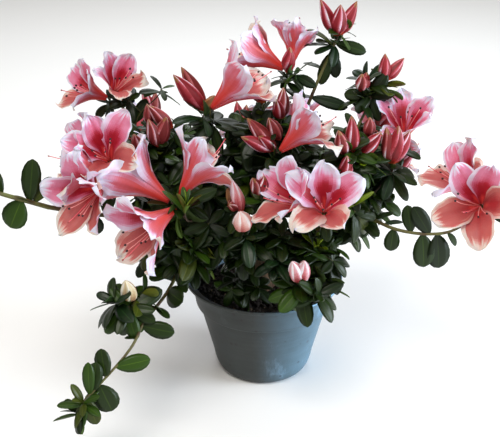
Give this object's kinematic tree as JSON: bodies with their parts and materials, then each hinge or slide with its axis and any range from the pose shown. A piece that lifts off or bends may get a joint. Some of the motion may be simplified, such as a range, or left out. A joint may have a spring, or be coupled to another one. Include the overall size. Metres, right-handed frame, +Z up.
{
  "type": "potted azalea shrub",
  "caption": "Potted azalea shrub with branching stems, lumpy leaf masses, trailing shoots and open trumpet blooms, in a round plastic pot that stands on its flat foot.",
  "frame": {"origin": "centre of the pot's flat underside", "axes": "+Z up along the pot's axis, -Y towards the side where most blooms face, +X to the right of someone looking along +Y"},
  "size_m": [0.3985, 0.3011, 0.2993],
  "materials": {
    "pot": "matte grey-blue moulded plastic, lightly scuffed",
    "soil": "nearly black moist peat",
    "bark": "thin red-brown to olive bark",
    "foliage": "dark green leaves with a soft gloss",
    "blossom": "salmon-pink petals with white margins"
  },
  "bodies": {
    "root": {"bough_back_left": "bark", "bough_back_right": "bark", "bough_front": "bark", "bough_left": "bark", "bough_middle": "bark", "bough_right": "bark", "crown_back": "foliage", "crown_back_left": "foliage", "crown_back_right": "foliage", "crown_front": "foliage", "crown_left": "foliage", "crown_low_left": "foliage", "crown_middle": "foliage", "crown_right": "foliage", "pot": "pot", "root_ball": "soil", "shoot_left": "bark", "shoot_left_end": "bark", "shoot_low_left": "bark", "shoot_low_left_end": "bark", "shoot_right": "bark", "shoot_top": "bark", "shoot_top_left": "bark", "shoot_top_middle": "bark", "shoot_upper_left": "bark", "shoot_upper_right": "bark", "trunk": "bark", "truss_back": "blossom", "truss_back_left": "blossom", "truss_back_right": "blossom", "truss_back_top": "blossom", "truss_far_right": "blossom", "truss_front": "blossom", "truss_left": "blossom", "truss_left_middle": "blossom", "truss_middle": "blossom", "truss_right": "blossom", "truss_top": "blossom", "truss_top_middle": "blossom", "truss_upper_left": "blossom", "tuft_left": "foliage", "tuft_left_buds": "foliage", "tuft_left_end": "foliage", "tuft_low_front": "foliage", "tuft_low_left": "foliage", "tuft_low_left_tip": "foliage", "tuft_low_middle": "foliage", "tuft_middle": "foliage", "tuft_right": "foliage", "tuft_right_middle": "foliage", "tuft_top": "foliage", "tuft_upper_right": "foliage"}
  },
  "joints": []
}
